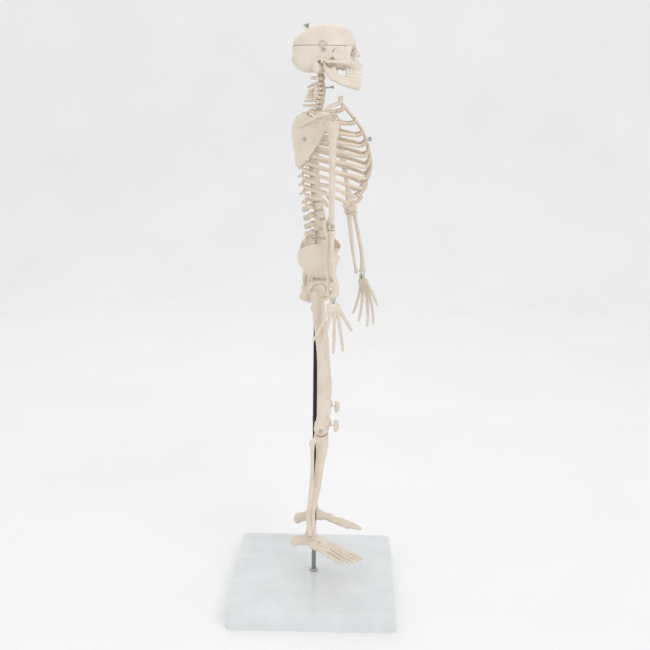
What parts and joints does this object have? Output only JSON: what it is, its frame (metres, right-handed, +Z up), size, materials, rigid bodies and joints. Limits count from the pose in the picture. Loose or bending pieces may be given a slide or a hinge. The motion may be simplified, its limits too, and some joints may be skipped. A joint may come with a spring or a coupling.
{
  "type": "human skeleton model",
  "caption": "Desk-size human skeleton model hung upright on a steel rod in a flat rectangular base, with movable head, jaw, skull cap, arms and legs.",
  "frame": {"origin": "centre of the base's underside, on the floor", "axes": "+Z up along the stand rod; the face looks along -Y and the skeleton's left side is +X"},
  "size_m": [0.26, 0.24, 0.8253],
  "materials": {
    "bone": "ivory moulded plastic, satin, faint tan shading in the hollows",
    "cartilage": "slightly darker, softer ivory plastic",
    "steel_rod": "bright drawn steel rod",
    "plated_steel": "zinc-plated wire and screws",
    "white_base": "glossy cool white moulding",
    "rubber_feet": "black rubber pads"
  },
  "bodies": {
    "trunk": {"base_plate": "white_base", "base_feet": "rubber_feet", "stand_rod": "steel_rod", "rod_lock_nuts": "plated_steel", "pelvis_bracket": "steel_rod", "trunk_screws": "plated_steel", "spine_rod": "steel_rod", "sacrum": "bone", "lumbar_vertebrae": "bone", "thoracic_vertebrae": "bone", "cervical_vertebrae": "bone", "cartilage_discs": "cartilage", "sternum": "bone", "sternum_screw": "plated_steel", "ribs_left": "bone", "ribs_right": "bone", "costal_cartilages": "cartilage", "clavicle_left": "bone", "clavicle_right": "bone", "scapula_left": "bone", "scapula_right": "bone", "hip_bone_left": "bone", "hip_bone_right": "bone"},
    "skull": {"skull_base": "bone", "skull_screws": "plated_steel"},
    "skull_cap": {"calvaria": "bone", "cap_studs": "plated_steel"},
    "jaw": {"mandible": "bone"},
    "hook_left": {"cap_hook_left": "plated_steel"},
    "hook_right": {"cap_hook_right": "plated_steel"},
    "shoulder_left": {"shoulder_link_left": "plated_steel"},
    "upper_arm_left": {"humerus_left": "bone", "elbow_pin_left": "plated_steel"},
    "forearm_left": {"ulna_left": "bone", "radius_left": "bone", "wrist_wire_left": "plated_steel"},
    "hand_left": {"hand_left": "bone"},
    "hip_left": {"hip_link_left": "plated_steel"},
    "thigh_left": {"femur_left": "bone", "knee_pin_left": "plated_steel", "patella_left": "bone"},
    "shin_left": {"tibia_left": "bone", "fibula_left": "bone", "ankle_pin_left": "plated_steel"},
    "foot_left": {"foot_left": "bone"},
    "shoulder_right": {"shoulder_link_right": "plated_steel"},
    "upper_arm_right": {"humerus_right": "bone", "elbow_pin_right": "plated_steel"},
    "forearm_right": {"ulna_right": "bone", "radius_right": "bone", "wrist_wire_right": "plated_steel"},
    "hand_right": {"hand_right": "bone"},
    "hip_right": {"hip_link_right": "plated_steel"},
    "thigh_right": {"femur_right": "bone", "knee_pin_right": "plated_steel", "patella_right": "bone"},
    "shin_right": {"tibia_right": "bone", "fibula_right": "bone", "ankle_pin_right": "plated_steel"},
    "foot_right": {"foot_right": "bone"}
  },
  "joints": [
    {"name": "head_turn", "type": "hinge", "parent": "trunk", "child": "skull", "pos_m": [0, -0.004, 0.762], "axis": [0, 0, 1], "range_deg": [-60, 60]},
    {"name": "jaw_open", "type": "hinge", "parent": "skull", "child": "jaw", "pos_m": [0, -0.0085, 0.7735], "axis": [1, 0, 0], "range_deg": [0, 15]},
    {"name": "cap_lift", "type": "slide", "parent": "skull", "child": "skull_cap", "axis": [0, 0, 1], "range_m": [0, 0.05]},
    {"name": "hook_left_turn", "type": "hinge", "parent": "skull", "child": "hook_left", "pos_m": [0.0336, -0.008, 0.7895], "axis": [-1, 0, 0], "range_deg": [-43, 40]},
    {"name": "hook_right_turn", "type": "hinge", "parent": "skull", "child": "hook_right", "pos_m": [-0.0336, -0.008, 0.7895], "axis": [-1, 0, 0], "range_deg": [-43, 40]},
    {"name": "shoulder_swing_left", "type": "hinge", "parent": "trunk", "child": "shoulder_left", "pos_m": [0.08, -0.021, 0.692], "axis": [-1, 0, 0], "range_deg": [-20, 90]},
    {"name": "shoulder_lift_left", "type": "hinge", "parent": "shoulder_left", "child": "upper_arm_left", "pos_m": [0.08, -0.021, 0.692], "axis": [0, -1, 0], "range_deg": [0, 60]},
    {"name": "elbow_left", "type": "hinge", "parent": "upper_arm_left", "child": "forearm_left", "pos_m": [0.08495, -0.0481, 0.5668], "axis": [-0.7071, 0.6964, -0.1228], "range_deg": [0, 115]},
    {"name": "wrist_left", "type": "hinge", "parent": "forearm_left", "child": "hand_left", "pos_m": [0.07929, -0.06581, 0.46635], "axis": [0.7071, 0.6964, -0.1228], "range_deg": [-30, 12]},
    {"name": "hip_swing_left", "type": "hinge", "parent": "trunk", "child": "hip_left", "pos_m": [0.038, -0.004, 0.47], "axis": [-1, 0, 0], "range_deg": [-15, 80]},
    {"name": "hip_lift_left", "type": "hinge", "parent": "hip_left", "child": "thigh_left", "pos_m": [0.038, -0.004, 0.47], "axis": [0, -1, 0], "range_deg": [0, 12]},
    {"name": "knee_left", "type": "hinge", "parent": "thigh_left", "child": "shin_left", "pos_m": [0.044, -0.01, 0.272], "axis": [1, 0, 0], "range_deg": [0, 90]},
    {"name": "ankle_left", "type": "hinge", "parent": "shin_left", "child": "foot_left", "pos_m": [0.045, 0.003, 0.11], "axis": [1, 0, 0], "range_deg": [-15, 20]},
    {"name": "shoulder_swing_right", "type": "hinge", "parent": "trunk", "child": "shoulder_right", "pos_m": [-0.08, -0.021, 0.692], "axis": [-1, 0, 0], "range_deg": [-20, 90]},
    {"name": "shoulder_lift_right", "type": "hinge", "parent": "shoulder_right", "child": "upper_arm_right", "pos_m": [-0.08, -0.021, 0.692], "axis": [0, 1, 0], "range_deg": [0, 60]},
    {"name": "elbow_right", "type": "hinge", "parent": "upper_arm_right", "child": "forearm_right", "pos_m": [-0.08693, -0.02197, 0.564], "axis": [-0.9903, -0.1392, 0], "range_deg": [0, 115]},
    {"name": "wrist_right", "type": "hinge", "parent": "forearm_right", "child": "hand_right", "pos_m": [-0.08241, -0.02538, 0.462], "axis": [0.1392, -0.9903, 0], "range_deg": [-30, 12]},
    {"name": "hip_swing_right", "type": "hinge", "parent": "trunk", "child": "hip_right", "pos_m": [-0.038, -0.004, 0.47], "axis": [-1, 0, 0], "range_deg": [-15, 80]},
    {"name": "hip_lift_right", "type": "hinge", "parent": "hip_right", "child": "thigh_right", "pos_m": [-0.038, -0.004, 0.47], "axis": [0, 1, 0], "range_deg": [0, 12]},
    {"name": "knee_right", "type": "hinge", "parent": "thigh_right", "child": "shin_right", "pos_m": [-0.044, -0.01, 0.272], "axis": [1, 0, 0], "range_deg": [0, 90]},
    {"name": "ankle_right", "type": "hinge", "parent": "shin_right", "child": "foot_right", "pos_m": [-0.045, 0.003, 0.11], "axis": [1, 0, 0], "range_deg": [-15, 20]}
  ]
}
